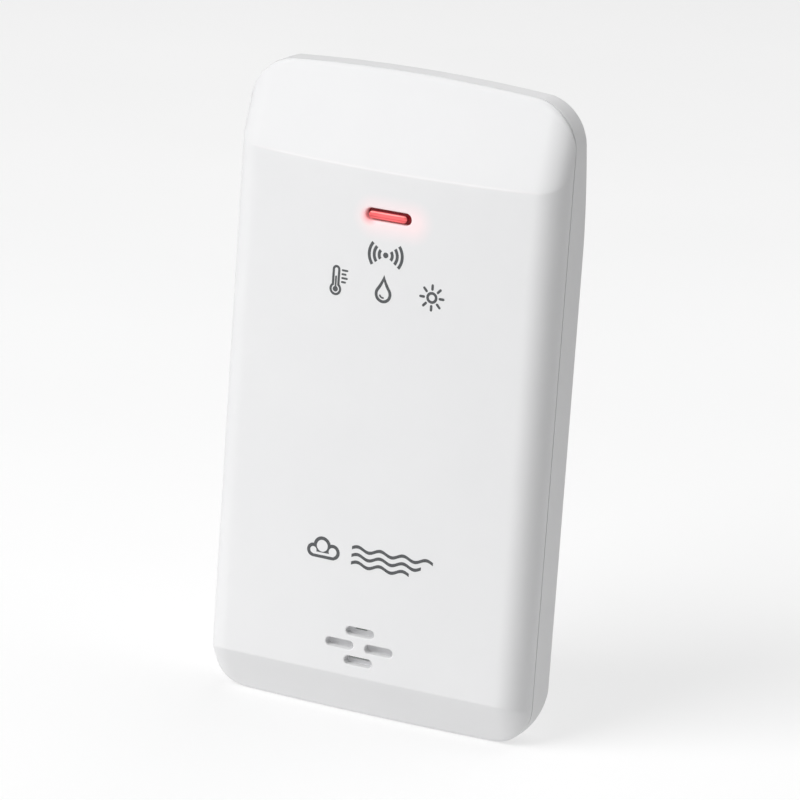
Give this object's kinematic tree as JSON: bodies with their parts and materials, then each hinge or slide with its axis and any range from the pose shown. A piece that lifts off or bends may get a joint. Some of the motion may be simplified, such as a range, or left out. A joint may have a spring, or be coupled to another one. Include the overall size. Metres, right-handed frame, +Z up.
{
  "type": "wireless outdoor temperature and humidity sensor",
  "caption": "Slim wall-hung wireless climate sensor: two-part white case with a lit window, air slots, a battery door, controls and a keyhole mount.",
  "frame": {"origin": "centre of the wall keyhole's round entry, in the plane of the back face that lies on the wall", "axes": "+Z up along the case, +Y out of the back towards the wall, +X to the right as seen from the front; the face looks towards -Y"},
  "size_m": [0.062, 0.0152, 0.116],
  "materials": {
    "case_plastic": "satin moulded ABS, white",
    "seal_rubber": "soft grey silicone",
    "red_lens": "clear red moulded light pipe",
    "led_body": "clear epoxy on a white base",
    "board": "green solder mask on glass-epoxy laminate",
    "chip_black": "black moulding compound",
    "bright_metal": "tinned steel can",
    "ceramic": "tan ceramic with tinned ends",
    "copper_wire": "enamelled copper wire",
    "sensor_white": "white moulded package with a membrane",
    "shroud_plastic": "light grey moulding",
    "wire_jacket": "flexible PVC jacket",
    "control_black": "black nylon",
    "cell_sleeve": "printed sleeve on a steel can",
    "spring_steel": "nickel-plated spring steel",
    "screw_steel": "zinc-plated steel"
  },
  "bodies": {
    "case": {"front_cover": "case_plastic", "rear_cover": "case_plastic", "case_seal": "seal_rubber", "light_pipe": "red_lens", "led": "led_body", "circuit_board": "board", "microcontroller": "chip_black", "radio_chip": "chip_black", "crystal": "bright_metal", "capacitors": "ceramic", "resistors": "chip_black", "antenna_coil": "copper_wire", "sensor_board": "board", "humidity_sensor": "sensor_white", "sensor_shroud": "shroud_plastic", "sensor_lead": "wire_jacket", "reset_switch": "bright_metal", "channel_switch": "bright_metal", "battery_left": "cell_sleeve", "battery_right": "cell_sleeve", "plus_contact": "spring_steel", "minus_spring": "spring_steel", "bridge_contact": "spring_steel", "case_screws": "screw_steel", "board_screws": "screw_steel"},
    "battery_door": {"battery_door": "case_plastic"},
    "reset_button": {"reset_button": "control_black"},
    "channel_knob": {"channel_knob": "control_black"}
  },
  "joints": [
    {"name": "door_swing", "type": "hinge", "parent": "case", "child": "battery_door", "pos_m": [0, 0, -0.0772], "axis": [-1, 0, 0], "range_deg": [0, 75]},
    {"name": "reset_press", "type": "slide", "parent": "case", "child": "reset_button", "axis": [0, -1, 0], "range_m": [0, 0.0004], "stiffness_N_per_m": 600},
    {"name": "channel_slide", "type": "slide", "parent": "case", "child": "channel_knob", "axis": [1, 0, 0], "range_m": [-0.002, 0.002]}
  ]
}
